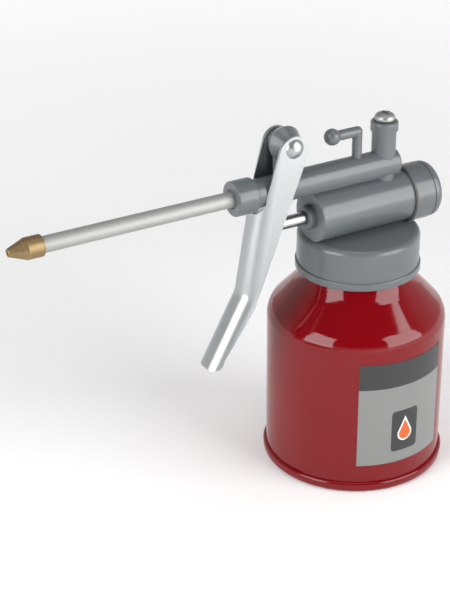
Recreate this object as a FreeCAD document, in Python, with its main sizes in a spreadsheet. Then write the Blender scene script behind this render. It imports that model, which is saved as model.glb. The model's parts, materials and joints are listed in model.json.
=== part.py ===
import FreeCAD, Part
import math
import os
import re

import Sketcher

# A hand pump oiler: steel can, screwed-on plastic pump head, squeeze lever, spout and nozzle.
# Millimetres, +Z up. The origin is on the can's axis, on the plane it stands on.
# The spout points along -X. The pump barrel and the spout barrel lie along X at y = 0.

SIZES = {
    # can
    "can_radius": 35.0,
    "can_wall": 0.6,
    "shoulder_corner_z": 64.75,
    "shoulder_round": 8.9,
    "shoulder_tilt": 43.0,
    "neck_radius": 20.3,
    "neck_top_z": 93.7,
    "neck_round": 15.0,
    "seam_radius": 36.15,
    "seam_inner_radius": 33.4,
    "seam_tall": 4.4,
    "seam_round": 1.1,
    "seam_foot_round": 2.0,
    "seam_slot_deep": 2.8,
    "base_panel_z": 3.2,
    "base_sheet": 0.5,
    # neck and cap thread
    "thread_pitch": 3.0,
    "thread_rise": 6.0,
    "thread_start_z": 85.0,
    "thread_crest": 0.5,
    "thread_root": 1.3,
    "thread_sink": 0.2,
    "neck_thread_radius": 21.4,
    "cap_thread_radius": 20.75,
    # label
    "label_low_z": 12.0,
    "label_high_z": 56.6,
    "label_thick": 0.12,
    "label_start_angle": -121.0,
    "label_sweep": 64.0,
    # screw cap of the pump head
    "cap_radius": 23.7,
    "cap_flange_radius": 24.3,
    "cap_bottom_z": 82.4,
    "cap_flange_z": 85.5,
    "cap_top_z": 98.3,
    "cap_ceiling_z": 95.3,
    "cap_bore_radius": 21.9,
    "cap_top_round": 2.2,
    "gasket_inner_radius": 18.8,
    "gasket_play": 0.3,
    # roundings used on more than one piece
    "edge_round": 0.5,
    "soft_round": 0.9,
    "fine_round": 0.3,
    # pump barrel
    "pump_z": 107.7,
    "barrel_radius": 10.1,
    "barrel_front_x": -22.1,
    "barrel_shoulder_x": 19.1,
    "barrel_end_x": 26.0,
    "spigot_radius": 9.4,
    "barrel_bore_radius": 8.0,
    "front_wall": 5.1,
    # rod gland and seal
    "gland_flange_radius": 4.75,
    "gland_flange_wide": 3.0,
    "gland_radius": 3.6,
    "gland_deep": 2.5,
    "rod_seal_wide": 1.8,
    "rod_radius": 2.45,
    "rod_clearance": 0.05,
    "wall_hole_radius": 3.0,
    # plunger
    "rod_tip_x": -47.95,
    "piston_front_x": -16.8,
    "piston_long": 5.0,
    "piston_radius": 7.93,
    "cup_disc": 1.5,
    "cup_long": 4.0,
    "cup_wall": 1.1,
    "cup_play": 0.03,
    "washer_radius": 6.2,
    "washer_thick": 1.0,
    "nut_flats": 7.0,
    "nut_tall": 3.2,
    "stud_radius": 2.0,
    "stud_past_nut": 0.7,
    # return spring
    "spring_radius": 5.1,
    "spring_wire": 0.5,
    "spring_turns": 9.0,
    "spring_play": 0.03,
    # end cap
    "end_gasket_radius": 10.9,
    "end_gasket_thick": 0.4,
    "end_cap_radius": 11.1,
    "end_cap_step_x": 27.9,
    "end_cap_groove_radius": 10.75,
    "end_cap_groove_wide": 0.45,
    "end_cap_rear_radius": 10.95,
    "end_cap_rear_x": 32.0,
    "end_cap_floor_x": 27.0,
    "end_cap_round": 2.6,
    "end_cap_play": 0.3,
    # spout barrel and spout
    "spout_z": 122.3,
    "spout_barrel_radius": 5.45,
    "spout_barrel_end_x": 15.7,
    "spout_barrel_round": 1.2,
    "collar_radius": 6.65,
    "collar_front_x": -56.0,
    "collar_rear_x": -47.75,
    "collar_recess_radius": 3.7,
    "collar_recess_deep": 1.6,
    "tube_seal_sunk": 0.3,
    "tube_radius": 3.0,
    "tube_bore_radius": 2.0,
    "tube_inner_x": -35.0,
    "channel_radius": 1.6,
    "nozzle_radius": 4.0,
    "nozzle_rear_x": -131.0,
    "nozzle_cone_x": -136.9,
    "nozzle_tip_x": -143.7,
    "nozzle_tip_radius": 1.4,
    "nozzle_hole_radius": 0.8,
    "nozzle_hole_deep": 3.0,
    "nozzle_socket": 4.5,
    # valve post, valves and suction
    "valve_x": 10.2,
    "post_radius": 4.66,
    "post_top_z": 136.1,
    "valve_bore_radius": 2.6,
    "port_radius": 1.4,
    "seat_z": 117.6,
    "ball_radius": 2.0,
    "ball_play": 0.02,
    "plug_bore_radius": 3.2,
    "plug_bottom_z": 129.0,
    "plug_radius": 5.3,
    "plug_top_z": 139.8,
    "plug_seal_z": 131.5,
    "plug_seal_groove": 0.5,
    "plug_seal_tall": 1.4,
    "outlet_spring_radius": 1.7,
    "outlet_spring_wire": 0.22,
    "outlet_spring_turns": 7.0,
    "outlet_spring_seat": 0.3,
    "screw_radius": 2.0,
    "screw_head_radius": 3.93,
    "screw_head_tall": 2.6,
    "screw_head_rim": 0.7,
    "screw_side_round": 2.2,
    "screw_crown_radius": 2.4,
    "screw_crown_tall": 0.3,
    "screw_crown_round": 9.7,
    "screw_tip_z": 127.4,
    "screw_washer_tall": 0.6,
    "screw_washer_radius": 4.1,
    "recess_long": 4.0,
    "recess_wide": 1.0,
    "recess_deep": 1.3,
    "inlet_boss_radius": 4.6,
    "inlet_boss_z": 86.5,
    "inlet_seat_z": 92.0,
    "inlet_port_z": 97.6,
    "inlet_stop_tall": 1.0,
    "stop_hole_radius": 0.35,
    "stop_hole_ring": 1.0,
    "stop_holes": 5,
    "seat_flange_radius": 3.6,
    "seat_flange_tall": 1.2,
    "seat_cone": 0.6,
    "barb_radius": 1.75,
    "barb_bore_radius": 1.0,
    "barb_bottom_z": 79.0,
    "suction_radius": 2.6,
    "suction_bottom_z": 9.3,
    "strainer_radius": 4.2,
    "strainer_wall": 0.7,
    "strainer_tall": 7.0,
    "strainer_bottom_z": 4.3,
    "slot_wide": 1.0,
    "strainer_slots": 8,
    # lever and its pivot
    "pivot_x": -33.6,
    "pivot_z": 139.55,
    "ear_radius": 6.0,
    "ear_centre_x": 0.2,
    "ear_centre_z": -0.85,
    "lever_half_wide": 6.85,
    "sheet": 1.25,
    "lever_corner": 6.0,
    "lever_bend_round": 8.0,
    "lever_front_tilt": 16.5,
    "lever_rear_tilt": 21.2,
    "lever_ear_foot_z": -21.45,
    "lever_web_slope": 0.17246,
    "lever_bend_x": -19.85,
    "lever_bend_z": -55.95,
    "lever_foot_x": -34.9,
    "lever_foot_z": -83.3,
    "lever_foot_rear_x": -29.4,
    "lever_foot_rear_z": -79.8,
    "lever_foot_round": 4.2,
    "lever_edge_bend_x": -16.5,
    "lever_edge_bend_z": -60.8,
    "notch_floor_z": -24.3,
    "notch_round": 4.6,
    "rivet_radius": 2.0,
    "rivet_head_radius": 3.7,
    "rivet_head_tall": 1.9,
    "boss_middle_radius": 6.6,
    "boss_end_radius": 4.1,
    "boss_half_long": 5.4,
    "pillar_half_wide": 3.4,
    "pillar_front_x": -36.6,
    "pillar_rear_x": -28.2,
    # hook
    "hook_post_x": -1.97,
    "hook_post_radius": 1.9,
    "hook_arm_radius": 1.97,
    "hook_arm_z": 137.7,
    "hook_ball_x": -13.1,
    "hook_ball_radius": 3.19,
}

doc = FreeCAD.newDocument("oil_can")
sheet = doc.addObject("Spreadsheet::Sheet", "Sizes")
for row, (alias, size) in enumerate(SIZES.items(), start=1):
    sheet.set(f"A{row}", alias)
    sheet.set(f"B{row}", str(size))
    sheet.setAlias(f"B{row}", alias)
doc.recompute()

made = []


def bound(formula):
    """The formula with each size name pointed at the sheet."""
    return re.sub(r"[a-z]\w*", lambda word: f"Sizes.{word[0]}" if word[0] in SIZES else word[0], formula)


def value(formula):
    """The formula's present value."""
    return float(sheet.evalExpression(bound(str(formula))))


def bind(thing, target, formula):
    thing.setExpression(target, bound(str(formula)))


def new_body(name, **place):
    """An empty sub-part named for its file, with its Placement bound to the sheet."""
    body = doc.addObject("PartDesign::Body", name)
    body.Label = name
    for axis, formula in place.items():
        bind(body, f".Placement.Base.{axis}", formula)
    made.append(body)
    return body


def new_sketch(body, role, lift=None):
    """A sketch on one of the body's own origin planes, lifted along its axes by bound amounts."""
    sketch = body.newObject("Sketcher::SketchObject", f"{body.Name}_sketch")
    plane = next(feature for feature in body.Origin.OriginFeatures if feature.Role == role)
    sketch.AttachmentSupport = [(plane, "")]
    sketch.MapMode = "FlatFace"
    for axis, formula in (lift or {}).items():
        bind(sketch, f"AttachmentOffset.Base.{axis}", formula)
    return sketch


def constrain(sketch, *parts, formula):
    """Add one dimension and bind it to the sheet."""
    index = sketch.addConstraint(Sketcher.Constraint(*parts, value(formula)))
    bind(sketch, f"Constraints[{index}]", formula)


def arc_between(first, last, radius):
    """The short arc between two points, always drawn anticlockwise.

    It bulges to the left of the way from first to last for a positive radius, to the right for a
    negative one.
    """
    chord = last - first
    half = chord.Length / 2
    side = FreeCAD.Vector(-chord.y, chord.x, 0).normalize() * math.copysign(1, radius)
    rise = abs(radius) - math.sqrt(max(radius * radius - half * half, 0))
    middle = (first + last) / 2 + side * rise
    return Part.Arc(last, middle, first) if radius > 0 else Part.Arc(first, middle, last)


def outline(body, role, corners, lift=None, sketch=None):
    """A closed outline, in a sketch of its own or as a further loop of the one given.

    A corner is (x, y), or (x, y, radius) where an arc leads to the next corner.
    """
    sketch = sketch or new_sketch(body, role, lift)
    offset = sketch.GeometryCount
    spots = [FreeCAD.Vector(value(corner[0]), value(corner[1]), 0) for corner in corners]
    ends = []
    for index, corner in enumerate(corners):
        first = spots[index]
        last = spots[(index + 1) % len(spots)]
        radius = value(corner[2]) if len(corner) == 3 else 0
        edge = arc_between(first, last, radius) if radius else Part.LineSegment(first, last)
        sketch.addGeometry(edge, False)
        ends.append((2, 1) if radius > 0 else (1, 2))
    for index, corner in enumerate(corners):
        edge = offset + index
        after = (index + 1) % len(corners)
        joint = (edge, ends[index][1], offset + after, ends[after][0])
        sketch.addConstraint(Sketcher.Constraint("Coincident", *joint))
        constrain(sketch, "DistanceX", -1, 1, edge, ends[index][0], formula=corner[0])
        constrain(sketch, "DistanceY", -1, 1, edge, ends[index][0], formula=corner[1])
        if len(corner) == 3:
            constrain(sketch, "Radius", edge, formula=f"abs({corner[2]})")
    return sketch


def circle(body, role, across, up, radius, lift=None):
    sketch = new_sketch(body, role, lift)
    centre = FreeCAD.Vector(value(across), value(up), 0)
    sketch.addGeometry(Part.Circle(centre, FreeCAD.Vector(0, 0, 1), value(radius)), False)
    constrain(sketch, "DistanceX", -1, 1, 0, 3, formula=across)
    constrain(sketch, "DistanceY", -1, 1, 0, 3, formula=up)
    constrain(sketch, "Radius", 0, formula=radius)
    return sketch


def feature_on(body, kind, sketch):
    feature = body.newObject(kind, f"{body.Name}_feature")
    feature.Profile = sketch
    return feature


def turn(body, sketch, axis, cut=False, angle=None):
    """Revolve a sketch about its own H_Axis or V_Axis, adding or cutting."""
    before = body.Shape.Volume if cut else 0
    feature = feature_on(body, "PartDesign::Groove" if cut else "PartDesign::Revolution", sketch)
    feature.ReferenceAxis = (sketch, [axis])
    feature.Angle = 360
    if angle:
        bind(feature, "Angle", angle)
    doc.recompute()
    if cut and not body.Shape.Volume < before:
        raise RuntimeError(f"{body.Name}: a groove cut nothing")
    return feature


def pad(body, sketch, length):
    """Extrude a sketch evenly to both sides of its plane."""
    feature = feature_on(body, "PartDesign::Pad", sketch)
    feature.SideType = "Symmetric"
    bind(feature, "Length", length)
    doc.recompute()
    return feature


def pad_up(body, sketch, length):
    feature = feature_on(body, "PartDesign::Pad", sketch)
    bind(feature, "Length", length)
    doc.recompute()
    return feature


def pocket(body, sketch, length, even=True, backward=False):
    """Cut a sketch through the body, evenly about its plane or to one side of it."""
    before = body.Shape.Volume
    feature = feature_on(body, "PartDesign::Pocket", sketch)
    if even:
        feature.SideType = "Symmetric"
    feature.Reversed = backward
    bind(feature, "Length", length)
    doc.recompute()
    if not body.Shape.Volume < before:
        raise RuntimeError(f"{body.Name}: a pocket cut nothing")
    return feature


def wind(body, sketch, pitch, height):
    """Sweep a sketch along a right-hand helix about its V_Axis."""
    feature = feature_on(body, "PartDesign::AdditiveHelix", sketch)
    feature.ReferenceAxis = (sketch, ["V_Axis"])
    feature.Mode = "pitch-height-angle"
    bind(feature, "Pitch", pitch)
    bind(feature, "Height", height)
    doc.recompute()
    return feature


def round_edges(body, radius, chosen):
    """Fillet the tip's edges that the test picks out."""
    tip = body.Tip
    names = [f"Edge{number}" for number, edge in enumerate(tip.Shape.Edges, start=1) if chosen(edge)]
    if not names:
        raise RuntimeError(f"{body.Name}: no edge to round")
    feature = body.newObject("PartDesign::Fillet", f"{body.Name}_round")
    feature.Base = (tip, names)
    bind(feature, "Radius", radius)
    doc.recompute()
    return feature


def ring_at(axis, place, radius):
    """A test for the full circle of this radius, square to the axis at this place along it."""
    at = value(place)
    size = value(radius)

    def chosen(edge):
        curve = edge.Curve
        return (
            isinstance(curve, Part.Circle)
            and abs(getattr(curve.Center, axis) - at) < 1e-4
            and abs(getattr(curve.Axis, axis)) > 0.999
            and abs(curve.Radius - size) < 1e-4
        )

    return chosen


def tube(name, outer, inner, start, end, along="X", **place):
    """A plain ring or tube along X or Z."""
    body = new_body(name, **place)
    if along == "X":
        corners = [(start, inner), (end, inner), (end, outer), (start, outer)]
        turn(body, outline(body, "XZ_Plane", corners), "H_Axis")
    else:
        corners = [(inner, start), (inner, end), (outer, end), (outer, start)]
        turn(body, outline(body, "XZ_Plane", corners), "V_Axis")
    return body


def ball(name, centre_z):
    body = new_body(name, x="valve_x", z=centre_z)
    half_disc = [
        ("0", "-ball_radius", "-ball_radius"),
        ("ball_radius", "0", "-ball_radius"),
        ("0", "ball_radius"),
    ]
    turn(body, outline(body, "XZ_Plane", half_disc), "V_Axis")
    return body


# ---------------------------------------------------------------- can


def thread_ridge(body, root, crest, low_z):
    """One right-hand ridge of the neck thread, from its root radius to its crest radius."""
    corners = [
        (root, f"{low_z} - thread_root / 2"),
        (crest, f"{low_z} - thread_crest / 2"),
        (crest, f"{low_z} + thread_crest / 2"),
        (root, f"{low_z} + thread_root / 2"),
    ]
    wind(body, outline(body, "XZ_Plane", corners), "thread_pitch", "thread_rise")


def make_can_shell():
    """Drawn body, shoulder and neck in one sheet, then the thread on the neck."""
    body = new_body("can_shell")
    cone_rise = "(can_radius - neck_radius) / tan(shoulder_tilt)"
    corner_gap = "can_wall * tan(shoulder_tilt / 2)"
    low_z = "seam_tall - seam_slot_deep"
    corners = [
        ("can_radius", low_z),
        ("can_radius", "shoulder_corner_z"),
        ("neck_radius", f"shoulder_corner_z + {cone_rise}"),
        ("neck_radius", "neck_top_z"),
        ("neck_radius - can_wall", "neck_top_z"),
        ("neck_radius - can_wall", f"shoulder_corner_z + {cone_rise} - {corner_gap}"),
        ("can_radius - can_wall", f"shoulder_corner_z - {corner_gap}"),
        ("can_radius - can_wall", low_z),
    ]
    turn(body, outline(body, "XZ_Plane", corners), "V_Axis")
    neck_z = f"shoulder_corner_z + {cone_rise}"
    round_edges(body, "shoulder_round", ring_at("z", "shoulder_corner_z", "can_radius"))
    inner_corner_z = f"shoulder_corner_z - {corner_gap}"
    round_edges(body, "shoulder_round - can_wall", ring_at("z", inner_corner_z, "can_radius - can_wall"))
    round_edges(body, "neck_round", ring_at("z", neck_z, "neck_radius"))
    round_edges(
        body, "neck_round + can_wall", ring_at("z", f"{neck_z} - {corner_gap}", "neck_radius - can_wall")
    )
    thread_ridge(body, "neck_radius - thread_sink", "neck_thread_radius", "thread_start_z")


def make_can_base():
    """Bottom panel, set up inside a rolled seam that grips the foot of the shell."""
    body = new_body("can_base")
    slot_z = "seam_tall - seam_slot_deep"
    corners = [
        ("0", "base_panel_z"),
        ("seam_inner_radius", "base_panel_z"),
        ("seam_inner_radius", "0"),
        ("seam_radius", "0"),
        ("seam_radius", "seam_tall"),
        ("can_radius", "seam_tall"),
        ("can_radius", slot_z),
        ("can_radius - can_wall", slot_z),
        ("can_radius - can_wall", "base_panel_z + base_sheet"),
        ("0", "base_panel_z + base_sheet"),
    ]
    turn(body, outline(body, "XZ_Plane", corners), "V_Axis")
    round_edges(body, "seam_round", ring_at("z", "seam_tall", "seam_radius"))
    round_edges(body, "seam_foot_round", ring_at("z", "0", "seam_radius"))


def make_label():
    """A printed sheet on the wall, turned through its own angle."""
    body = new_body("label")
    body.Placement.Rotation = FreeCAD.Rotation(FreeCAD.Vector(0, 0, 1), 0)
    bind(body, ".Placement.Rotation.Angle", "label_start_angle")
    corners = [
        ("can_radius", "label_low_z"),
        ("can_radius + label_thick", "label_low_z"),
        ("can_radius + label_thick", "label_high_z"),
        ("can_radius", "label_high_z"),
    ]
    turn(body, outline(body, "XZ_Plane", corners), "V_Axis", angle="label_sweep")


# ---------------------------------------------------------------- pump head


def make_pump_head():
    """One moulding: screw cap, pump barrel, spout barrel, valve post, lever boss and hook."""
    body = new_body("pump_head")

    cap = [
        ("0", "cap_ceiling_z"),
        ("cap_bore_radius", "cap_ceiling_z"),
        ("cap_bore_radius", "cap_bottom_z"),
        ("cap_flange_radius", "cap_bottom_z"),
        ("cap_flange_radius", "cap_flange_z"),
        ("cap_radius", "cap_flange_z"),
        ("cap_radius", "cap_top_z"),
        ("0", "cap_top_z"),
    ]
    turn(body, outline(body, "XZ_Plane", cap), "V_Axis")
    round_edges(body, "cap_top_round", ring_at("z", "cap_top_z", "cap_radius"))
    round_edges(body, "edge_round", ring_at("z", "cap_flange_z", "cap_flange_radius"))
    round_edges(body, "edge_round", ring_at("z", "cap_bottom_z", "cap_flange_radius"))

    barrel = [
        ("barrel_front_x", "0"),
        ("barrel_end_x", "0"),
        ("barrel_end_x", "spigot_radius"),
        ("barrel_shoulder_x", "spigot_radius"),
        ("barrel_shoulder_x", "barrel_radius"),
        ("barrel_front_x", "barrel_radius"),
    ]
    turn(body, outline(body, "XZ_Plane", barrel, {"y": "pump_z"}), "H_Axis")
    round_edges(body, "edge_round", ring_at("x", "barrel_front_x", "barrel_radius"))

    spout_barrel = [
        ("collar_front_x", "0"),
        ("spout_barrel_end_x", "0"),
        ("spout_barrel_end_x", "spout_barrel_radius - spout_barrel_round", "-spout_barrel_round"),
        ("spout_barrel_end_x - spout_barrel_round", "spout_barrel_radius"),
        ("collar_rear_x", "spout_barrel_radius"),
        ("collar_rear_x", "collar_radius"),
        ("collar_front_x", "collar_radius"),
    ]
    turn(body, outline(body, "XZ_Plane", spout_barrel, {"y": "spout_z"}), "H_Axis")
    round_edges(body, "edge_round", ring_at("x", "collar_front_x", "collar_radius"))
    round_edges(body, "edge_round", ring_at("x", "collar_rear_x", "collar_radius"))

    post = circle(body, "XY_Plane", "valve_x", "0", "post_radius", {"z": "pump_z"})
    pad_up(body, post, "post_top_z - pump_z")
    inlet_boss = circle(body, "XY_Plane", "valve_x", "0", "inlet_boss_radius", {"z": "inlet_boss_z"})
    pad_up(body, inlet_boss, "cap_ceiling_z + 1 - inlet_boss_z")

    boss = [
        ("-boss_half_long", "0"),
        ("boss_half_long", "0"),
        ("boss_half_long", "boss_end_radius"),
        ("0", "boss_middle_radius"),
        ("-boss_half_long", "boss_end_radius"),
    ]
    turn(body, outline(body, "YZ_Plane", boss, {"y": "pivot_z", "z": "pivot_x"}), "H_Axis")
    pillar = [
        ("pillar_front_x", "spout_z"),
        ("pillar_rear_x", "spout_z"),
        ("pillar_rear_x", "pivot_z"),
        ("pillar_front_x", "pivot_z"),
    ]
    pad(body, outline(body, "XZ_Plane", pillar), "2 * pillar_half_wide")

    hook_post = circle(body, "XY_Plane", "hook_post_x", "0", "hook_post_radius", {"z": "spout_z"})
    pad_up(body, hook_post, "hook_arm_z - spout_z")
    ball_reach = "sqrt(hook_ball_radius * hook_ball_radius - hook_arm_radius * hook_arm_radius)"
    hook_arm = [
        ("hook_ball_x - hook_ball_radius", "0", "hook_ball_radius"),
        ("hook_ball_x", "hook_ball_radius", "hook_ball_radius"),
        (f"hook_ball_x + {ball_reach}", "hook_arm_radius"),
        ("hook_post_x", "hook_arm_radius", "hook_arm_radius"),
        ("hook_post_x + hook_arm_radius", "0"),
    ]
    turn(body, outline(body, "XZ_Plane", hook_arm, {"y": "hook_arm_z"}), "H_Axis")

    barrel_bore = [
        ("barrel_front_x - 1", "0"),
        ("barrel_end_x + 1", "0"),
        ("barrel_end_x + 1", "barrel_bore_radius"),
        ("barrel_front_x + front_wall", "barrel_bore_radius"),
        ("barrel_front_x + front_wall", "wall_hole_radius"),
        ("barrel_front_x + gland_deep + rod_seal_wide", "wall_hole_radius"),
        ("barrel_front_x + gland_deep + rod_seal_wide", "gland_radius"),
        ("barrel_front_x - 1", "gland_radius"),
    ]
    turn(body, outline(body, "XZ_Plane", barrel_bore, {"y": "pump_z"}), "H_Axis", cut=True)

    spout_bore = [
        ("collar_front_x - 1", "0"),
        ("valve_x", "0"),
        ("valve_x", "channel_radius"),
        ("tube_inner_x", "channel_radius"),
        ("tube_inner_x", "tube_radius"),
        ("collar_front_x + collar_recess_deep", "tube_radius"),
        ("collar_front_x + collar_recess_deep", "collar_recess_radius"),
        ("collar_front_x - 1", "collar_recess_radius"),
    ]
    turn(body, outline(body, "XZ_Plane", spout_bore, {"y": "spout_z"}), "H_Axis", cut=True)

    end_cap_relief = [
        ("barrel_shoulder_x", "spigot_radius"),
        ("end_cap_step_x + end_cap_play", "spigot_radius"),
        ("end_cap_step_x + end_cap_play", "end_cap_radius + end_cap_play"),
        ("barrel_shoulder_x", "end_cap_radius + end_cap_play"),
    ]
    turn(body, outline(body, "XZ_Plane", end_cap_relief, {"y": "pump_z"}), "H_Axis", cut=True)

    cone_rise = "(valve_bore_radius - port_radius)"
    valve_bore = [
        ("0", "inlet_boss_z - 1"),
        ("valve_bore_radius", "inlet_boss_z - 1"),
        ("valve_bore_radius", "inlet_port_z"),
        ("port_radius", "inlet_port_z"),
        ("port_radius", "seat_z"),
        ("valve_bore_radius", f"seat_z + {cone_rise}"),
        ("valve_bore_radius", "plug_bottom_z"),
        ("plug_bore_radius", "plug_bottom_z"),
        ("plug_bore_radius", "post_top_z + 1"),
        ("0", "post_top_z + 1"),
    ]
    turn(body, outline(body, "XZ_Plane", valve_bore, {"x": "valve_x"}), "V_Axis", cut=True)

    pivot_bore = circle(body, "XZ_Plane", "pivot_x", "pivot_z", "rivet_radius + rod_clearance")
    pocket(body, pivot_bore, "4 * boss_half_long")

    thread_ridge(body, "cap_bore_radius + thread_sink", "cap_thread_radius", "thread_start_z + thread_pitch / 2")
    return body


def make_gland():
    """Flanged bush that the rod slides in, and the seal behind it."""
    body = new_body("rod_gland", z="pump_z")
    corners = [
        ("barrel_front_x - gland_flange_wide", "rod_radius + rod_clearance"),
        ("barrel_front_x + gland_deep", "rod_radius + rod_clearance"),
        ("barrel_front_x + gland_deep", "gland_radius"),
        ("barrel_front_x", "gland_radius"),
        ("barrel_front_x", "gland_flange_radius"),
        ("barrel_front_x - gland_flange_wide", "gland_flange_radius"),
    ]
    turn(body, outline(body, "XZ_Plane", corners), "H_Axis")
    front_x = "barrel_front_x - gland_flange_wide"
    round_edges(body, "soft_round", ring_at("x", front_x, "gland_flange_radius"))
    round_edges(body, "edge_round", ring_at("x", front_x, "rod_radius + rod_clearance"))
    tube(
        "rod_seal",
        "gland_radius",
        "rod_radius + rod_clearance / 2",
        "barrel_front_x + gland_deep",
        "barrel_front_x + gland_deep + rod_seal_wide",
        z="pump_z",
    )


def make_end_cap():
    """Cup screwed over the barrel's spigot, and the ring it clamps."""
    body = new_body("end_cap", z="pump_z")
    front_x = "barrel_shoulder_x + end_gasket_thick"
    corners = [
        (front_x, "spigot_radius"),
        ("end_cap_floor_x", "spigot_radius"),
        ("end_cap_floor_x", "0"),
        ("end_cap_rear_x", "0"),
        ("end_cap_rear_x", "end_cap_rear_radius"),
        ("end_cap_step_x + end_cap_groove_wide", "end_cap_rear_radius"),
        ("end_cap_step_x + end_cap_groove_wide", "end_cap_groove_radius"),
        ("end_cap_step_x", "end_cap_groove_radius"),
        ("end_cap_step_x", "end_cap_radius"),
        (front_x, "end_cap_radius"),
    ]
    turn(body, outline(body, "XZ_Plane", corners), "H_Axis")
    round_edges(body, "end_cap_round", ring_at("x", "end_cap_rear_x", "end_cap_rear_radius"))
    round_edges(body, "fine_round", ring_at("x", "end_cap_step_x", "end_cap_radius"))
    round_edges(body, "fine_round", ring_at("x", front_x, "end_cap_radius"))
    tube("end_cap_gasket", "end_gasket_radius", "spigot_radius", "barrel_shoulder_x", front_x, z="pump_z")


def make_cap_gasket():
    outer = "cap_bore_radius - gasket_play"
    tube("cap_gasket", outer, "gasket_inner_radius", "neck_top_z", "cap_ceiling_z", along="Z")


# ---------------------------------------------------------------- spout


def make_spout():
    """Tube from the collar to the nozzle, the ring that seals it, and the turned nozzle."""
    socket_x = "nozzle_rear_x - nozzle_socket"
    tube("spout_tube", "tube_radius", "tube_bore_radius", socket_x, "tube_inner_x", z="spout_z")
    tube(
        "tube_seal",
        "collar_recess_radius",
        "tube_radius",
        "collar_front_x + tube_seal_sunk",
        "collar_front_x + collar_recess_deep",
        z="spout_z",
    )
    nozzle = new_body("nozzle", z="spout_z")
    corners = [
        ("nozzle_tip_x", "nozzle_hole_radius"),
        ("nozzle_tip_x + nozzle_hole_deep", "nozzle_hole_radius"),
        (socket_x, "tube_bore_radius"),
        (socket_x, "tube_radius"),
        ("nozzle_rear_x", "tube_radius"),
        ("nozzle_rear_x", "nozzle_radius - fine_round"),
        ("nozzle_rear_x - fine_round", "nozzle_radius"),
        ("nozzle_cone_x", "nozzle_radius"),
        ("nozzle_tip_x", "nozzle_tip_radius"),
    ]
    turn(nozzle, outline(nozzle, "XZ_Plane", corners), "H_Axis")


# ---------------------------------------------------------------- valves


def make_outlet_valve():
    """Ball on the seat in the post, its spring, the plug above and the screw that closes it."""
    ball("outlet_ball", "seat_z - port_radius + ball_radius * sqrt(2) + ball_play")

    low_z = "(seat_z + 2 * ball_radius - outlet_spring_seat)"
    spring = new_body("outlet_spring", x="valve_x", z=low_z)
    height = f"(screw_tip_z - {low_z} - 2 * outlet_spring_wire - 2 * spring_play)"
    coil_z = "outlet_spring_wire + spring_play"
    coil = circle(spring, "XZ_Plane", "outlet_spring_radius", coil_z, "outlet_spring_wire")
    wind(spring, coil, f"{height} / outlet_spring_turns", height)

    plug = new_body("valve_plug", x="valve_x")
    groove_low = "plug_seal_z - plug_seal_tall / 2"
    groove_high = "plug_seal_z + plug_seal_tall / 2"
    corners = [
        ("screw_radius", "plug_bottom_z"),
        ("plug_bore_radius", "plug_bottom_z"),
        ("plug_bore_radius", groove_low),
        ("plug_bore_radius - plug_seal_groove", groove_low),
        ("plug_bore_radius - plug_seal_groove", groove_high),
        ("plug_bore_radius", groove_high),
        ("plug_bore_radius", "post_top_z"),
        ("plug_radius", "post_top_z"),
        ("plug_radius", "plug_top_z"),
        ("screw_radius", "plug_top_z"),
    ]
    turn(plug, outline(plug, "XZ_Plane", corners), "V_Axis")
    round_edges(plug, "soft_round", ring_at("z", "plug_top_z", "plug_radius"))
    tube(
        "plug_seal",
        "plug_bore_radius",
        "plug_bore_radius - plug_seal_groove",
        groove_low,
        groove_high,
        along="Z",
        x="valve_x",
    )
    tube(
        "screw_washer",
        "screw_washer_radius",
        "screw_radius",
        "plug_top_z",
        "plug_top_z + screw_washer_tall",
        along="Z",
        x="valve_x",
    )

    screw = new_body("valve_screw", x="valve_x", z="plug_top_z + screw_washer_tall")
    tip = "screw_tip_z - plug_top_z - screw_washer_tall"
    corners = [
        ("0", tip),
        ("screw_radius - edge_round", tip),
        ("screw_radius", f"{tip} + edge_round"),
        ("screw_radius", "0"),
        ("screw_head_radius", "0"),
        ("screw_head_radius", "screw_head_rim", "-screw_side_round"),
        ("screw_crown_radius", "screw_head_tall - screw_crown_tall", "-screw_crown_round"),
        ("0", "screw_head_tall"),
    ]
    turn(screw, outline(screw, "XZ_Plane", corners), "V_Axis")
    cross_recess(screw, "screw_head_tall")


def cross_recess(body, top):
    """Two crossed slots, sunk from the top of the head."""
    half_long = "recess_long / 2"
    half_wide = "recess_wide / 2"
    for across, along in ((half_long, half_wide), (half_wide, half_long)):
        slot = [(f"-{across}", f"-{along}"), (across, f"-{along}"), (across, along), (f"-{across}", along)]
        pocket(body, outline(body, "XY_Plane", slot, {"z": top}), "recess_deep", even=False)


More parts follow.
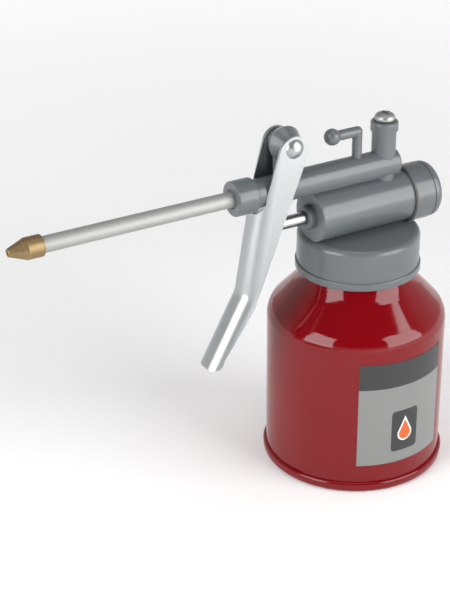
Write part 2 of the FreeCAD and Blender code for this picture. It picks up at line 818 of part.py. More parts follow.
def make_inlet():
    """Suction valve in the boss under the cap, with the tube and strainer that hang from it."""
    ball("inlet_ball", "inlet_seat_z - port_radius + ball_radius * sqrt(2) + ball_play")

    seat = new_body("inlet_seat", x="valve_x")
    flange_low = "inlet_boss_z - seat_flange_tall"
    cone_wide = "port_radius + seat_cone"
    corners = [
        ("barb_bore_radius", "barb_bottom_z"),
        ("barb_radius - fine_round", "barb_bottom_z"),
        ("barb_radius", "barb_bottom_z + soft_round"),
        ("barb_radius", flange_low),
        ("seat_flange_radius", flange_low),
        ("seat_flange_radius", "inlet_boss_z"),
        ("valve_bore_radius", "inlet_boss_z"),
        ("valve_bore_radius", "inlet_seat_z + seat_cone"),
        (cone_wide, "inlet_seat_z + seat_cone"),
        ("port_radius", "inlet_seat_z"),
        ("port_radius", "inlet_boss_z"),
        ("barb_bore_radius", "inlet_boss_z - 1"),
    ]
    turn(seat, outline(seat, "XZ_Plane", corners), "V_Axis")

    stop = tube(
        "inlet_ball_stop",
        "valve_bore_radius",
        "stop_hole_radius",
        "inlet_port_z - inlet_stop_tall",
        "inlet_port_z",
        along="Z",
        x="valve_x",
    )
    hole = circle(stop, "XY_Plane", "stop_hole_ring", "0", "stop_hole_radius", {"z": "inlet_port_z"})
    first = pocket(stop, hole, "inlet_stop_tall", even=False)
    spread(stop, first, "stop_holes")

    tube("suction_tube", "suction_radius", "barb_radius", "suction_bottom_z", flange_low, along="Z", x="valve_x")
    make_strainer()


def make_strainer():
    """Slotted cup pushed on the foot of the suction tube."""
    body = new_body("inlet_strainer", x="valve_x")
    top = "strainer_bottom_z + strainer_tall"
    corners = [
        ("0", "strainer_bottom_z"),
        ("strainer_radius", "strainer_bottom_z"),
        ("strainer_radius", top),
        ("suction_radius", top),
        ("suction_radius", "suction_bottom_z"),
        ("strainer_radius - strainer_wall", "suction_bottom_z"),
        ("strainer_radius - strainer_wall", "strainer_bottom_z + strainer_wall"),
        ("0", "strainer_bottom_z + strainer_wall"),
    ]
    turn(body, outline(body, "XZ_Plane", corners), "V_Axis")
    low = "strainer_bottom_z + strainer_wall + fine_round"
    high = "suction_bottom_z - fine_round"
    slot = [("0", low), ("strainer_radius + 1", low), ("strainer_radius + 1", high), ("0", high)]
    first = pocket(body, outline(body, "XZ_Plane", slot), "slot_wide")
    spread(body, first, "strainer_slots")


def spread(body, feature, count):
    """Repeat a feature evenly about the body's Z axis."""
    pattern = body.newObject("PartDesign::PolarPattern", f"{body.Name}_pattern")
    pattern.Originals = [feature]
    axis = next(item for item in body.Origin.OriginFeatures if item.Role == "Z_Axis")
    pattern.Axis = (axis, [""])
    pattern.Angle = 360
    bind(pattern, "Occurrences", count)
    body.Tip = pattern
    doc.recompute()


# ---------------------------------------------------------------- plunger


def make_plunger():
    """Rod with a shouldered stud that carries the piston, its cup, a washer and a nut."""
    piston_end = "(piston_front_x + piston_long)"
    cup_disc_end = f"({piston_end} + cup_disc)"
    washer_end = f"({cup_disc_end} + washer_thick)"
    nut_end = f"({washer_end} + nut_tall)"

    rod = new_body("piston_rod", z="pump_z")
    corners = [
        ("rod_tip_x", "0"),
        (f"{nut_end} + stud_past_nut", "0"),
        (f"{nut_end} + stud_past_nut", "stud_radius - fine_round"),
        (f"{nut_end} + stud_past_nut - fine_round", "stud_radius"),
        ("piston_front_x", "stud_radius"),
        ("piston_front_x", "rod_radius"),
        ("rod_tip_x + rod_radius", "rod_radius", "rod_radius"),
    ]
    turn(rod, outline(rod, "XZ_Plane", corners), "H_Axis")

    tube("piston_head", "piston_radius", "stud_radius", "piston_front_x", piston_end, z="pump_z")

    cup = new_body("piston_cup", z="pump_z")
    lip_radius = "barrel_bore_radius - cup_play"
    corners = [
        (piston_end, "stud_radius"),
        (cup_disc_end, "stud_radius"),
        (cup_disc_end, f"{lip_radius} - cup_wall"),
        (f"{piston_end} + cup_long", f"{lip_radius} - cup_wall / 2"),
        (f"{piston_end} + cup_long", lip_radius),
        (piston_end, "piston_radius"),
    ]
    turn(cup, outline(cup, "XZ_Plane", corners), "H_Axis")

    tube("cup_washer", "washer_radius", "stud_radius", cup_disc_end, washer_end, z="pump_z")

    nut = new_body("piston_nut", z="pump_z")
    corner_radius = "nut_flats / sqrt(3)"
    hexagon = [
        (f"{corner_radius} * cos({angle})", f"{corner_radius} * sin({angle})") for angle in range(0, 360, 60)
    ]
    pad_up(nut, outline(nut, "YZ_Plane", hexagon, {"z": washer_end}), "nut_tall")
    hole = circle(nut, "YZ_Plane", "0", "0", "stud_radius", {"z": nut_end})
    pocket(nut, hole, "nut_tall", even=False)

    spring = new_body("return_spring", x=f"{washer_end} + spring_wire + spring_play", z="pump_z")
    spring.Placement.Rotation = FreeCAD.Rotation(FreeCAD.Vector(0, 1, 0), 90)
    height = f"(end_cap_floor_x - {washer_end} - 2 * spring_wire - 2 * spring_play)"
    coil = circle(spring, "XZ_Plane", "spring_radius", "0", "spring_wire")
    wind(spring, coil, f"{height} / spring_turns", height)


# ---------------------------------------------------------------- lever


def lever_front_x(z):
    """Where the web's front face lies at a height, both from the pivot."""
    bend_x, bend_z = value("lever_bend_x"), value("lever_bend_z")
    foot_slope = (value("lever_foot_x") - bend_x) / (value("lever_foot_z") - bend_z)
    return bend_x + (z - bend_z) * (value("lever_web_slope") if z > bend_z else foot_slope)


def front_edge(half_wide, inset):
    """A test for the lever's long front edges at this distance from its middle plane."""
    side_y = value(half_wide)
    back = value(inset)

    def chosen(edge):
        middle = edge.valueAt((edge.FirstParameter + edge.LastParameter) / 2)
        level = all(abs(spot.Point.y - middle.y) < 1e-4 for spot in edge.Vertexes)
        at_side = abs(abs(middle.y) - side_y) < 1e-4
        return level and at_side and abs(middle.x - lever_front_x(middle.z) - back) < 0.4

    return chosen


def cross_edge(x, z):
    """A test for straight edges across the lever at a place in its side outline."""
    at_x, at_z = value(x), value(z)

    def chosen(edge):
        return all(
            abs(spot.Point.x - at_x) < 1e-4 and abs(spot.Point.z - at_z) < 1e-4 for spot in edge.Vertexes
        )

    return chosen


def open_face(top, low, rear):
    """A test for the block's top, bottom and rear faces, which the folded sheet leaves open."""
    top_z, low_z, rear_x = value(top), value(low), value(rear)

    def chosen(face):
        middle = face.CenterOfMass
        return (
            abs(middle.z - top_z) < 1e-4 or abs(middle.z - low_z) < 1e-4 or abs(middle.x - rear_x) < 1e-4
        )

    return chosen


def hollow_out(body, thick, chosen):
    """Leave a skin of this thickness inside the tip's faces, open at the faces that the test picks out."""
    tip = body.Tip
    names = [f"Face{number}" for number, face in enumerate(tip.Shape.Faces, start=1) if chosen(face)]
    feature = body.newObject("PartDesign::Thickness", f"{body.Name}_skin")
    feature.Base = (tip, names)
    feature.Reversed = True
    feature.Join = "Intersection"
    bind(feature, "Value", thick)
    before = tip.Shape.Volume
    doc.recompute()
    if not 0 < body.Shape.Volume < before / 2:
        raise RuntimeError(f"{body.Name}: the skin failed")
    return feature


def make_lever():
    """Folded sheet channel: a bent web in front, two sides that rise as ears past a notch."""
    body = new_body("trigger_lever", x="pivot_x", z="pivot_z")
    top = "2 * ear_radius"
    far = "4 * ear_radius"
    low = "2 * lever_foot_z - lever_bend_z"
    web_top_x = f"lever_bend_x + ({top} - lever_bend_z) * lever_web_slope"
    web_low_x = "2 * lever_foot_x - lever_bend_x"
    half_inside = "(lever_half_wide - sheet)"

    block = [(web_top_x, top), ("lever_bend_x", "lever_bend_z"), (web_low_x, low), (far, low), (far, top)]
    pad(body, outline(body, "XZ_Plane", block), "2 * lever_half_wide")
    round_edges(body, "lever_bend_round", cross_edge("lever_bend_x", "lever_bend_z"))
    round_edges(body, "lever_corner", front_edge("lever_half_wide", "0"))

    hollow_out(body, "sheet", open_face(top, low, far))

    ear_front = "(ear_centre_x - ear_radius * cos(lever_front_tilt))"
    ear_front_z = "(ear_centre_z + ear_radius * sin(lever_front_tilt))"
    ear_rear = "ear_centre_x + ear_radius * cos(lever_rear_tilt)"
    ear_rear_z = "ear_centre_z - ear_radius * sin(lever_rear_tilt)"
    side = [
        ("lever_bend_x - 2 * sheet", "lever_ear_foot_z"),
        ("lever_foot_x - 2 * sheet", "lever_foot_z - sheet"),
        ("lever_foot_x", "lever_foot_z", "-lever_foot_round"),
        ("lever_foot_rear_x", "lever_foot_rear_z"),
        ("lever_edge_bend_x", "lever_edge_bend_z"),
        (ear_rear, ear_rear_z, "-ear_radius"),
        (ear_front, ear_front_z),
        (f"{ear_front} - ({ear_front_z} - lever_ear_foot_z) * tan(lever_front_tilt)", "lever_ear_foot_z"),
    ]
    beyond = f"2 * {far}"
    frame = [(f"-3 * {far}", f"3 * {low}"), (beyond, f"3 * {low}"), (beyond, far), (f"-3 * {far}", far)]
    outside = outline(body, "XZ_Plane", frame)
    pocket(body, outline(body, "XZ_Plane", side, sketch=outside), "3 * lever_half_wide")

    notch = [
        (f"-{half_inside}", "notch_floor_z + notch_round", "-notch_round"),
        (f"notch_round - {half_inside}", "notch_floor_z"),
        (f"{half_inside} - notch_round", "notch_floor_z", "-notch_round"),
        (half_inside, "notch_floor_z + notch_round"),
        (half_inside, top),
        (f"-{half_inside}", top),
    ]
    pocket(body, outline(body, "YZ_Plane", notch), "20 * ear_radius")
    pocket(body, circle(body, "XZ_Plane", "0", "0", "rivet_radius"), "3 * lever_half_wide")


def make_rivet():
    """Solid rivet with a domed head at each end."""
    body = new_body("pivot_rivet", x="pivot_x", z="pivot_z")
    squares = "(rivet_head_radius * rivet_head_radius + rivet_head_tall * rivet_head_tall)"
    head_radius = f"{squares} / (2 * rivet_head_tall)"
    corners = [
        ("-(lever_half_wide + rivet_head_tall)", "0", head_radius),
        ("-lever_half_wide", "rivet_head_radius"),
        ("-lever_half_wide", "rivet_radius"),
        ("lever_half_wide", "rivet_radius"),
        ("lever_half_wide", "rivet_head_radius", head_radius),
        ("lever_half_wide + rivet_head_tall", "0"),
    ]
    turn(body, outline(body, "YZ_Plane", corners), "H_Axis")


def check_document():
    """Stop if anything failed to build."""
    doc.recompute()
    for item in doc.Objects:
        if "Invalid" in item.State or "Error" in item.State:
            raise RuntimeError(f"{item.Name} failed: {item.State}")
    for body in made:
        if body.Shape.isNull() or not body.Shape.isValid():
            raise RuntimeError(f"{body.Label} has no valid shape")


make_can_shell()
make_can_base()
make_label()
make_cap_gasket()
make_pump_head()
make_gland()
make_end_cap()
make_spout()
make_outlet_valve()
make_inlet()
make_plunger()
make_lever()
make_rivet()
check_document()

os.makedirs("parts", exist_ok=True)
for body in made:
    body.Shape.exportStep(f"parts/{body.Label}.step")
    print(f"{body.Label:16s} {len(body.Shape.Solids)} solid  {body.Shape.Volume:10.1f} mm3")
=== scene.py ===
"""Looks of the oil can: its studio, its finishes, and the pieces drawn in place of CAD nodes."""

import json
import math

import bmesh
import bpy
from mathutils import Matrix, Vector


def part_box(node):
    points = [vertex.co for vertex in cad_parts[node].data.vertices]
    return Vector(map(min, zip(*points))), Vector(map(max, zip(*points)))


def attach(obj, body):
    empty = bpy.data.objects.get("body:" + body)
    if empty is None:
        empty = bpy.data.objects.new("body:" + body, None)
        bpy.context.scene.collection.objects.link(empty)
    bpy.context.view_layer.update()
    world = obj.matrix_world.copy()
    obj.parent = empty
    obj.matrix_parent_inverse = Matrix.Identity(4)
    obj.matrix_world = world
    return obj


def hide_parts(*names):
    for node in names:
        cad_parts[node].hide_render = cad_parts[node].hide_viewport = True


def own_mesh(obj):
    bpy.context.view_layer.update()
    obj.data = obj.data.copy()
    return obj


MM = 0.001
CAMERA_AZIMUTH = -29.522  # degrees

# Sockets of a Mix node that mixes colours.
MIX_SHARE, MIX_FIRST, MIX_SECOND, MIX_RESULT = 0, 6, 7, 2
# Most of a noise texture's values lie between these.
NOISE_LOW, NOISE_HIGH = 0.3, 0.7

WIRE_SIDES = 14
LATHE_SIDES = 96

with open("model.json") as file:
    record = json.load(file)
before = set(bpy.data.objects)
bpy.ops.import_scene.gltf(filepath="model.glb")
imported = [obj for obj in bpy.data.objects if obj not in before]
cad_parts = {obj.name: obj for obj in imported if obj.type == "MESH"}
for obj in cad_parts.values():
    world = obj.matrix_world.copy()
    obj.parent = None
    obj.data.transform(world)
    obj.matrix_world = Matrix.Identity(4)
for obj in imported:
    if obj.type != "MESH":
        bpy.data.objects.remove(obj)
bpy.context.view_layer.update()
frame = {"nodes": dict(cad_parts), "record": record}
nodes = frame["nodes"]


def add_object(name, data):
    """A new object for this data, in the scene."""
    item = bpy.data.objects.new(name, data)
    bpy.context.scene.collection.objects.link(item)
    return item


# ---------------------------------------------------------------- camera, floor and light


def place_camera():
    """The camera, from its azimuth, elevation and roll about a point on the can's axis."""
    azimuth, elevation, roll = map(math.radians, (CAMERA_AZIMUTH, 27.528, -0.445))
    target = Vector((0, 0, 0.060))
    distance, aside, above = 0.6463, 0.05145, 0.00575
    level_right = Vector((math.cos(azimuth), math.sin(azimuth), 0))
    back = Vector(
        (
            math.sin(azimuth) * math.cos(elevation),
            -math.cos(azimuth) * math.cos(elevation),
            math.sin(elevation),
        )
    )
    level_up = back.cross(level_right)
    right = level_right * math.cos(roll) + level_up * math.sin(roll)
    up = level_up * math.cos(roll) - level_right * math.sin(roll)
    spot = target + back * distance - right * aside + up * above
    data = bpy.data.cameras.new("camera")
    data.sensor_fit = "VERTICAL"
    data.sensor_height = 36
    data.lens = 98.41
    data.clip_start = 0.01
    camera = add_object("camera", data)
    turn = Matrix((right, up, back)).transposed().to_4x4()
    camera.matrix_world = Matrix.Translation(spot) @ turn
    bpy.context.scene.camera = camera


def panel_light(name, azimuth, distance, wide, tall, radiance, foot, lean=0.0):
    """A rectangular light whose lower edge is `foot` above the floor, facing the can's axis.

    `lean` tips it down, in degrees: 0 stands upright and 89 hangs like a ceiling.
    """
    data = bpy.data.lights.new(name, "AREA")
    data.shape = "RECTANGLE"
    data.size, data.size_y = wide, tall
    data.energy = radiance * math.pi * wide * tall
    light = add_object(name, data)
    turn = math.radians(azimuth)
    out = Vector((math.sin(turn), -math.cos(turn), 0))
    light.location = out * distance + Vector((0, 0, foot + tall / 2))
    facing = -out + Vector((0, 0, -math.tan(math.radians(lean))))
    light.rotation_euler = facing.to_track_quat("-Z", "Y").to_euler()


def light_studio():
    """A world that is pale all round and darker high up, two tall panels and a ceiling light."""
    world = bpy.data.worlds.new("studio")
    bpy.context.scene.world = world
    world.use_nodes = True
    tree = world.node_tree
    tree.nodes.clear()
    out = tree.nodes.new("ShaderNodeOutputWorld")
    back = tree.nodes.new("ShaderNodeBackground")
    place = tree.nodes.new("ShaderNodeTexCoord").outputs["Generated"]
    split = tree.nodes.new("ShaderNodeSeparateXYZ")
    tree.links.new(place, split.inputs[0])

    def ramp(source, *stops):
        """Grey from a number, by (number, grey) stops."""
        node = tree.nodes.new("ShaderNodeValToRGB")
        marks = node.color_ramp.elements
        while len(marks) < len(stops):
            marks.new(0.5)
        for mark, (position, grey) in zip(marks, stops):
            mark.position, mark.color = position, (grey, grey, grey, 1)
        tree.links.new(source, node.inputs[0])
        return node.outputs[0]

    # 1 in the direction that the photographed side faces, 0 in the opposite one.
    toward = tree.nodes.new("ShaderNodeVectorMath")
    toward.operation = "DOT_PRODUCT"
    tree.links.new(place, toward.inputs[0])
    facing = math.radians(CAMERA_AZIMUTH)
    toward.inputs[1].default_value = (0.5 * math.sin(facing), -0.5 * math.cos(facing), 0)
    shift = tree.nodes.new("ShaderNodeMath")
    shift.operation = "ADD"
    tree.links.new(toward.outputs["Value"], shift.inputs[0])
    shift.inputs[1].default_value = 0.5

    # Both halves run from the horizon up to straight overhead.
    behind = ramp(split.outputs["Z"], (0.0, 1.25), (0.40, 1.25), (0.70, 0.60), (0.95, 0.30))
    before = ramp(split.outputs["Z"], (0.0, 1.5), (0.10, 1.2), (0.17, 0.16), (0.95, 0.22))
    side = ramp(shift.outputs[0], (0.42, 0.0), (0.62, 1.0))
    blend = tree.nodes.new("ShaderNodeMix")
    blend.data_type = "RGBA"
    tree.links.new(side, blend.inputs[MIX_SHARE])
    tree.links.new(behind, blend.inputs[MIX_FIRST])
    tree.links.new(before, blend.inputs[MIX_SECOND])
    tree.links.new(blend.outputs[MIX_RESULT], back.inputs["Color"])
    tree.links.new(back.outputs[0], out.inputs["Surface"])
    back.inputs["Strength"].default_value = 0.50

    panel_light("softbox_left", -79, 0.80, wide=0.52, tall=0.76, radiance=5.6, foot=0.06)
    panel_light("softbox_right", 29.5, 0.80, wide=0.70, tall=0.79, radiance=5.2, foot=0.06)
    panel_light("overhead", -20, 0.05, wide=0.9, tall=0.9, radiance=1.6, foot=1.2, lean=89)


def stage_sheet(name, outline, height, grey, roughness):
    """A flat sheet of the studio with a plain matt face: its object, node tree and shader."""
    mesh = bpy.data.meshes.new(name)
    mesh.from_pydata([(x, y, height) for x, y in outline], [], [tuple(range(len(outline)))])
    sheet = add_object(name, mesh)
    material = bpy.data.materials.new(name)
    material.use_nodes = True
    shader = material.node_tree.nodes["Principled BSDF"]
    shader.inputs["Base Color"].default_value = (grey, grey, grey, 1)
    shader.inputs["Roughness"].default_value = roughness
    shader.inputs["Emission Color"].default_value = (1, 1, 1, 1)
    mesh.materials.append(material)
    return sheet, material.node_tree, shader


def make_floor():
    """A pale floor that glows more the farther it is from the can, so it fades to white."""
    reach = 6.0
    corners = [(-reach, -reach), (reach, -reach), (reach, reach), (-reach, reach)]
    _, tree, shader = stage_sheet("floor", corners, 0, grey=0.93, roughness=0.9)
    shader.inputs["Specular IOR Level"].default_value = 0.1
    place = tree.nodes.new("ShaderNodeTexCoord").outputs["Object"]
    away = tree.nodes.new("ShaderNodeVectorMath")
    away.operation = "LENGTH"
    tree.links.new(place, away.inputs[0])
    glow = tree.nodes.new("ShaderNodeMapRange")
    for socket, amount in (
        ("From Min", 0.22),
        ("From Max", 1.1),
        ("To Min", 0.10),
        ("To Max", 0.82),
    ):
        glow.inputs[socket].default_value = amount
    tree.links.new(away.outputs["Value"], glow.inputs["Value"])
    tree.links.new(glow.outputs[0], shader.inputs["Emission Strength"])


def make_cards():
    """Two studio cards on the floor, outside the picture, for the plated steel to mirror."""
    height, roughness = 0.002, 0.95
    left = [(-0.95, -0.42), (-0.34, -0.42), (-0.30, 0.04), (-0.95, 0.04)]
    card, _, shader = stage_sheet("dark_card", left, height, 0.02, roughness)
    shader.inputs["Emission Strength"].default_value = 0.0
    # Only mirrored: from any other side the floor stays plain and pale.
    card.visible_camera = card.visible_shadow = card.visible_diffuse = False
    front = [(-0.22, -0.80), (0.50, -0.80), (0.30, -0.20), (-0.10, -0.24)]
    _, _, shader = stage_sheet("white_card", front, height, 0.93, roughness)
    shader.inputs["Emission Strength"].default_value = 0.6


# ---------------------------------------------------------------- materials


class Finish:
    """One procedural material under construction, in the part's own coordinates."""

    def __init__(self, name):
        self.material = bpy.data.materials.new(name)
        self.material.use_nodes = True
        self.tree = self.material.node_tree
        self.shader = self.tree.nodes["Principled BSDF"]
        self.place = self.tree.nodes.new("ShaderNodeTexCoord").outputs["Object"]

    def set(self, **values):
        """Constants on the shader's own sockets; a tuple is a colour."""
        for key, amount in values.items():
            socket = self.shader.inputs[key.replace("_", " ")]
            socket.default_value = (*amount, 1) if isinstance(amount, tuple) else amount
        return self

    def link(self, source, target):
        self.tree.links.new(source, target)

    def axes(self):
        """The x, y and z of a point, in metres."""
        node = self.tree.nodes.new("ShaderNodeSeparateXYZ")
        self.link(self.place, node.inputs[0])
        return node.outputs

    def stretched(self, scale):
        node = self.tree.nodes.new("ShaderNodeMapping")
        node.inputs["Scale"].default_value = scale
        self.link(self.place, node.inputs["Vector"])
        return node.outputs["Vector"]

    def noise(self, scale, detail=2.0, rough=0.5, stretch=None):
        node = self.tree.nodes.new("ShaderNodeTexNoise")
        node.inputs["Scale"].default_value = scale
        node.inputs["Detail"].default_value = detail
        node.inputs["Roughness"].default_value = rough
        self.link(self.stretched(stretch) if stretch else self.place, node.inputs["Vector"])
        return node.outputs["Fac"]

    def math(self, operation, *values):
        node = self.tree.nodes.new("ShaderNodeMath")
        node.operation = operation
        for socket, amount in zip(node.inputs, values):
            if isinstance(amount, (int, float)):
                socket.default_value = amount
            else:
                self.link(amount, socket)
        return node.outputs[0]

    def spread(self, source, low, high, to_low=0.0, to_high=1.0):
        """The source's low to high, stretched to to_low to to_high and held at its ends."""
        node = self.tree.nodes.new("ShaderNodeMapRange")
        node.inputs["From Min"].default_value = low
        node.inputs["From Max"].default_value = high
        node.inputs["To Min"].default_value = to_low
        node.inputs["To Max"].default_value = to_high
        self.link(source, node.inputs["Value"])
        return node.outputs[0]

    def mix(self, share, first, second):
        """The first colour where share is 0, the second where it is 1."""
        node = self.tree.nodes.new("ShaderNodeMix")
        node.data_type = "RGBA"
        self.link(share, node.inputs[MIX_SHARE])
        for index, amount in ((MIX_FIRST, first), (MIX_SECOND, second)):
            if isinstance(amount, tuple):
                node.inputs[index].default_value = (*amount, 1)
            else:
                self.link(amount, node.inputs[index])
        return node.outputs[MIX_RESULT]

    def colour(self, source):
        self.link(source, self.shader.inputs["Base Color"])

    def rough_between(self, noise, low, high):
        """Roughness that wanders between two values with a noise."""
        source = self.spread(noise, NOISE_LOW, NOISE_HIGH, low, high)
        self.link(source, self.shader.inputs["Roughness"])

    def bump(self, height, distance, strength):
        node = self.tree.nodes.new("ShaderNodeBump")
        node.inputs["Strength"].default_value = strength
        node.inputs["Distance"].default_value = distance
        self.link(height, node.inputs["Height"])
        self.link(node.outputs[0], self.shader.inputs["Normal"])


def red_paint():
    """Glossy enamel: a clear coat over a dull red, with a little orange peel."""
    finish = Finish("red_paint").set(Roughness=0.5, Specular_IOR_Level=0.0)
    finish.set(Coat_Weight=1.0, Coat_Roughness=0.08, Coat_IOR=1.44)
    deep, bright = (0.166, 0.0002, 0.0028), (0.180, 0.0004, 0.0034)
    finish.colour(finish.mix(finish.noise(40, 3), deep, bright))
    finish.bump(finish.noise(260, 2), distance=0.00004, strength=0.25)
    return finish.material


def grey_finish(name):
    """Satin moulded plastic: faint clouding, and slight unevenness in its gloss."""
    finish = Finish(name).set(Specular_IOR_Level=0.5)
    dark, light = (0.108, 0.118, 0.126), (0.118, 0.128, 0.136)
    finish.colour(finish.mix(finish.noise(60, 3), dark, light))
    finish.rough_between(finish.noise(150, 2), 0.21, 0.26)
    return finish


def grey_plastic():
    finish = grey_finish("grey_plastic")
    finish.bump(finish.noise(320, 2), distance=0.00002, strength=0.12)
    return finish.material


def grey_moulding():
    """The pump head's plastic, with the line where its mould's halves met, at y = 0."""
    finish = grey_finish("grey_moulding")
    _, y, _ = finish.axes()
    line_top, line_foot = 0.00004, 0.00014
    line = finish.spread(finish.math("ABSOLUTE", y), line_top, line_foot, 1.0, 0.0)
    grain = finish.math("MULTIPLY", finish.noise(320, 2), 0.06)
    finish.bump(finish.math("ADD", line, grain), distance=0.00006, strength=0.7)
    return finish.material


def grey_seal():
    """The rough packing round the tube."""
    finish = Finish("grey_seal").set(Roughness=0.75)
    cloud = finish.noise(900, 4, 0.7)
    dark, light = (0.050, 0.050, 0.044), (0.150, 0.152, 0.146)
    finish.colour(finish.mix(finish.spread(cloud, NOISE_LOW, NOISE_HIGH), dark, light))
    finish.bump(cloud, distance=0.0002, strength=0.8)
    return finish.material


def zinc_steel():
    """Bright zinc plate: faint clouds in its colour and gloss, over a fine grain."""
    finish = Finish("zinc_steel").set(Metallic=1.0)
    cloud = finish.noise(60, 3)
    finish.colour(finish.mix(cloud, (0.395, 0.42, 0.426), (0.47, 0.485, 0.477)))
    finish.rough_between(cloud, 0.34, 0.39)
    finish.bump(finish.noise(3200, 2, 0.6), distance=0.00001, strength=0.2)
    return finish.material


def chrome_steel():
    """The rod: faint lines along it, from sliding in its gland."""
    finish = Finish("chrome_steel").set(Metallic=1.0, Base_Color=(0.47, 0.48, 0.49))
    finish.rough_between(finish.noise(300, 3, stretch=(0.1, 1, 1)), 0.20, 0.28)
    return finish.material


def screw_zinc():
    """The valve screw's plating, duller than the chromed rod."""
    finish = Finish("screw_zinc").set(Metallic=1.0)
    cloud = finish.noise(500, 3)
    finish.colour(finish.mix(cloud, (0.34, 0.355, 0.345), (0.44, 0.455, 0.44)))
    finish.rough_between(cloud, 0.44, 0.52)
    finish.bump(finish.noise(3000, 2), distance=0.00001, strength=0.3)
    return finish.material


def tube_aluminium():
    """Dull drawn tube, speckled along its length."""
    finish = Finish("tube_aluminium").set(Metallic=1.0)
    speckle = finish.noise(1500, 4, 0.7, stretch=(0.5, 1, 1))
    dark, light = (0.405, 0.41, 0.395), (0.47, 0.475, 0.46)
    finish.colour(finish.mix(finish.spread(speckle, 0.35, 0.65), dark, light))
    finish.rough_between(speckle, 0.60, 0.72)
    finish.bump(speckle, distance=0.00002, strength=0.35)
    return finish.material


def nozzle_brass():
    """Turned brass, with the tool's fine lines round it."""
    finish = Finish("nozzle_brass").set(Metallic=1.0)
    lines = finish.noise(2500, 2, 0.6, stretch=(1, 0.02, 0.02))
    dark, light = (0.26, 0.173, 0.080), (0.345, 0.25, 0.138)
    finish.colour(finish.mix(finish.spread(lines, NOISE_LOW, NOISE_HIGH), dark, light))
    finish.rough_between(lines, 0.42, 0.52)
    finish.bump(lines, distance=0.00002, strength=0.5)
    return finish.material


def ring_rubber():
    """The thin ring squeezed out under the end cap, greyer than the other seals."""
    finish = Finish("ring_rubber").set(Roughness=0.6)
    cloud = finish.noise(900, 3)
    finish.colour(finish.mix(cloud, (0.060, 0.058, 0.050), (0.105, 0.102, 0.090)))
    finish.bump(cloud, distance=0.00003, strength=0.4)
    return finish.material


def black_rubber():
    finish = Finish("black_rubber").set(Roughness=0.7)
    cloud = finish.noise(1200, 3)
    finish.colour(finish.mix(cloud, (0.018, 0.018, 0.014), (0.05, 0.048, 0.038)))
    finish.bump(cloud, distance=0.00005, strength=0.5)
    return finish.material


def white_plastic():
    """The suction tube and valve parts: slightly see-through natural plastic."""
    finish = Finish("white_plastic")
    finish.set(Roughness=0.35, Subsurface_Weight=0.2, Subsurface_Scale=0.002)
    finish.colour(finish.mix(finish.noise(80, 2), (0.70, 0.71, 0.68), (0.78, 0.78, 0.74)))
    finish.bump(finish.noise(1500, 2), distance=0.00001, strength=0.3)
    return finish.material


def spring_steel():
    finish = Finish("spring_steel").set(Metallic=1.0, Roughness=0.28)
    finish.colour(finish.mix(finish.noise(900, 3), (0.42, 0.42, 0.43), (0.60, 0.60, 0.61)))
    return finish.material


def label_print():
    """A generic printed label: a silver field, a dark band, and a dark block with a drop."""
    finish = Finish("label_print").set(Roughness=0.38, Specular_IOR_Level=0.4)
    ink, paper, orange = (0.036, 0.036, 0.037), (0.72, 0.73, 0.71), (0.62, 0.115, 0.018)
    band_foot, drop_height = 45.8 * MM, 24.2 * MM
    label_radius = 35.1
    label_middle = math.radians(-121 + 32)

    x, y, z = finish.axes()
    angle = finish.math("ARCTAN2", y, x)
    band = finish.math("GREATER_THAN", z, band_foot)
    grain = finish.noise(3000, 2)
    silver = finish.mix(grain, (0.19, 0.194, 0.189), (0.235, 0.239, 0.232))
    ground = finish.mix(band, silver, ink)

    # Millimetres round the can and up it, from the middle of the drop's bowl.
    turned = finish.math("SUBTRACT", angle, label_middle)
    across = finish.math("MULTIPLY", turned, label_radius)
    up = finish.math("MULTIPLY", finish.math("SUBTRACT", z, drop_height), 1 / MM)
    side = finish.math("ABSOLUTE", across)

    def apart(first, second):
        """The distance from two lengths at right angles."""
        squares = (finish.math("POWER", length, 2.0) for length in (first, second))
        return finish.math("SQRT", finish.math("ADD", *squares))

    def drop(size):
        """1 inside a falling drop whose bowl has this radius: a circle under a triangle."""
        peak, half_width, joined = 2.35 * size, 0.470, 0.4255 * size
        bowl = finish.math("LESS_THAN", apart(across, up), size)
        slope = finish.math("SUBTRACT", peak, up)
        narrow = finish.math("LESS_THAN", side, finish.math("MULTIPLY", slope, half_width))
        above = finish.math("GREATER_THAN", up, joined)
        return finish.math("MAXIMUM", bowl, finish.math("MULTIPLY", narrow, above))

    def block(half_wide, half_tall, middle_up, corner):
        """1 inside a plain block with rounded corners."""
        height = finish.math("ABSOLUTE", finish.math("SUBTRACT", up, middle_up))
        past_side = finish.math("SUBTRACT", side, half_wide - corner)
        past_top = finish.math("SUBTRACT", height, half_tall - corner)
        past_side = finish.math("MAXIMUM", past_side, 0.0)
        past_top = finish.math("MAXIMUM", past_top, 0.0)
        return finish.math("LESS_THAN", apart(past_side, past_top), corner)

    shape = block(half_wide=6.0, half_tall=9.0, middle_up=1.6, corner=1.6)
    ground = finish.mix(shape, ground, ink)
    ground = finish.mix(drop(3.3), ground, paper)
    ground = finish.mix(drop(2.6), ground, orange)
    finish.colour(ground)
    finish.bump(grain, distance=0.00001, strength=0.2)
    return finish.material


MATERIALS = {
    make.__name__: make()
    for make in (
        red_paint,
        grey_plastic,
        grey_moulding,
        grey_seal,
        zinc_steel,
        chrome_steel,
        screw_zinc,
        tube_aluminium,
        nozzle_brass,
        black_rubber,
        ring_rubber,
        white_plastic,
        spring_steel,
        label_print,
    )
}

SLOT_OF = {part["node"]: part["material_slot"] for part in frame["record"]["subparts"]}

# Nodes whose finish differs from the rest of their slot.
OWN_FINISH = {
    "pump_head": "grey_moulding",
    "tube_seal": "grey_seal",
    "valve_screw": "screw_zinc",
    "end_cap_gasket": "ring_rubber",
}


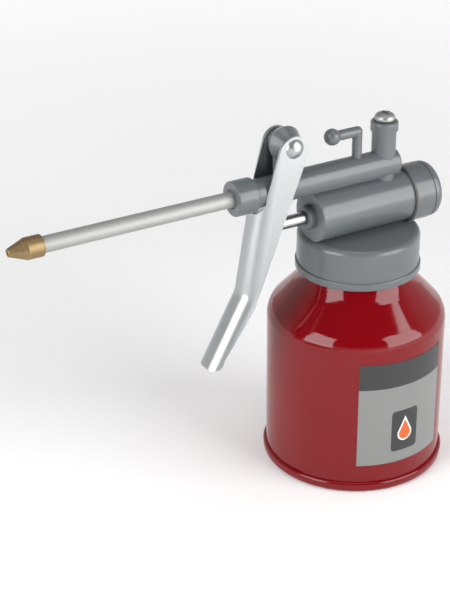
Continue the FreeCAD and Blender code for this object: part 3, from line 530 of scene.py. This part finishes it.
def dress_nodes():
    """Give every CAD node the material of its slot, or its own."""
    for name, node in nodes.items():
        material = MATERIALS[OWN_FINISH.get(name, SLOT_OF[name])]
        node.data.materials.clear()
        node.data.materials.append(material)


# ---------------------------------------------------------------- pieces that replace a node


def finished(name, mesh, slot, body, replaced):
    """An object with its slot's material, riding on a body in place of a CAD node."""
    piece = add_object(name, mesh)
    mesh.materials.append(MATERIALS[slot])
    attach(piece, body)
    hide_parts(replaced)
    return piece


def round_angles(count):
    return [2 * math.pi * step / count for step in range(count)]


def join_rings(build, rings):
    """Faces between each ring of points and the next."""
    for first, last in zip(rings, rings[1:]):
        for step in range(len(first)):
            after = (step + 1) % len(first)
            build.faces.new((first[step], first[after], last[after], last[step]))


def closed_mesh(build, name):
    """The mesh of a closed bmesh, its faces turned outwards."""
    bmesh.ops.recalc_face_normals(build, faces=build.faces)
    mesh = bpy.data.meshes.new(name)
    build.to_mesh(mesh)
    build.free()
    return mesh


def swept_wire(path, radius):
    """A closed mesh round a path of points, with flat ends."""
    build = bmesh.new()
    never_along = Vector((0.31, 0.92, 0.23))
    rings = []
    for index, spot in enumerate(path):
        before, after = path[max(index - 1, 0)], path[min(index + 1, len(path) - 1)]
        along = (after - before).normalized()
        side = along.cross(never_along).normalized()
        rise = along.cross(side)
        rings.append(
            [
                build.verts.new(spot + (side * math.cos(turn) + rise * math.sin(turn)) * radius)
                for turn in round_angles(WIRE_SIDES)
            ]
        )
    join_rings(build, rings)
    build.faces.new(list(reversed(rings[0])))
    build.faces.new(rings[-1])
    mesh = closed_mesh(build, "wire")
    for polygon in mesh.polygons:
        polygon.use_smooth = len(polygon.vertices) == 4
    return mesh


def coil_path(start, end, radius, turns):
    """A spring's centre line from start to end, its end turns closed up."""
    steps_per_turn = 36
    dead = 1.0
    dead_pitch = 0.2 * radius
    axis = (end - start).normalized()
    side = axis.orthogonal().normalized()
    rise = axis.cross(side)
    live_length = (end - start).length - 2 * dead * dead_pitch
    total = steps_per_turn * turns
    path = []
    for step in range(total + 1):
        turned = turns * step / total
        share = min(max((turned - dead) / (turns - 2 * dead), 0), 1)
        closed = min(turned, dead) + max(turned - (turns - dead), 0)
        along = share * live_length + closed * dead_pitch
        angle = 2 * math.pi * turned
        around = (side * math.cos(angle) + rise * math.sin(angle)) * radius
        path.append(start + axis * along + around)
    return path


def wire_spring(node, wire, turns, axis):
    """A wire spring of this wire radius that fills its node's box along x (0) or z (2)."""
    low, high = (Vector(corner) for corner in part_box(node))
    middle = (low + high) / 2
    radius = (high.y - low.y) / 2 - wire
    start, end = middle.copy(), middle.copy()
    start[axis], end[axis] = low[axis] + wire, high[axis] - wire
    mesh = swept_wire(coil_path(start, end, radius, turns), wire * 0.98)
    spring = finished(node + "_wire", mesh, "spring_steel", "head", node)
    return spring, low, high, middle


def make_springs():
    """Round wire springs with closed ends."""
    spring, low, high, middle = wire_spring("return_spring", 0.5 * MM, 10, axis=0)
    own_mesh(spring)

    spring, low, high, middle = wire_spring("outlet_spring", 0.22 * MM, 8, axis=2)
    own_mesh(spring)


def lathe(profile, middle):
    """A mesh turned about a line along x, from (x, radius) pairs that go all the way round."""
    build = bmesh.new()
    rings = []
    for x, radius in profile:
        ring = []
        for turn in round_angles(LATHE_SIDES):
            y, z = middle.y + radius * math.cos(turn), middle.z + radius * math.sin(turn)
            ring.append(build.verts.new((x, y, z)))
        rings.append(ring)
    join_rings(build, rings + rings[:1])
    mesh = closed_mesh(build, "turned")
    mesh.shade_smooth()
    mesh.set_sharp_from_angle(angle=math.radians(28))
    return mesh


def tool_rings(start, end, first_radius, last_radius, count, depth):
    """Points along a turned face, every other one cut in by a tool mark's depth."""
    points = []
    for ring in range(1, count):
        share = ring / count
        cut = depth if ring % 2 else 0
        radius = first_radius + (last_radius - first_radius) * share - cut
        points.append((start + (end - start) * share, radius))
    return points


def make_nozzle():
    """The turned nozzle, with fine tool rings on it and an eased edge at each end."""
    low, high = (Vector(corner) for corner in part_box("nozzle"))
    middle = (low + high) / 2
    tip, outer = low.x, (high.y - low.y) / 2
    tip_radius = 1.4 * MM
    cone_end, rear = tip + 6.8 * MM, tip + 12.7 * MM
    bore, bore_end, bore_lip = 0.8 * MM, tip + 3.0 * MM, 0.2 * MM
    tube, tube_bore, tube_stop = 3.0 * MM, 2.0 * MM, tip + 8.2 * MM
    eased = 0.25 * MM
    profile = [
        (bore_end, bore),
        (tip + bore_lip, bore),
        (tip, bore + bore_lip),
        (tip, tip_radius - eased),
        (tip + eased * 0.3, tip_radius - eased * 0.3),
        *tool_rings(tip, cone_end, tip_radius, outer, 34, 0.035 * MM),
        (cone_end, outer),
        *tool_rings(cone_end, rear - eased, outer, outer, 24, 0.018 * MM),
        (rear - eased, outer),
        (rear, outer - eased),
        (rear, tube),
        (tube_stop, tube),
        (tube_stop, tube_bore),
    ]
    finished("nozzle_turned", lathe(profile, middle), "nozzle_brass", "head", "nozzle")


place_camera()
light_studio()
make_floor()
make_cards()
dress_nodes()
make_springs()
make_nozzle()

scene = bpy.context.scene
scene.view_settings.view_transform = "Standard"
scene.view_settings.look = "None"
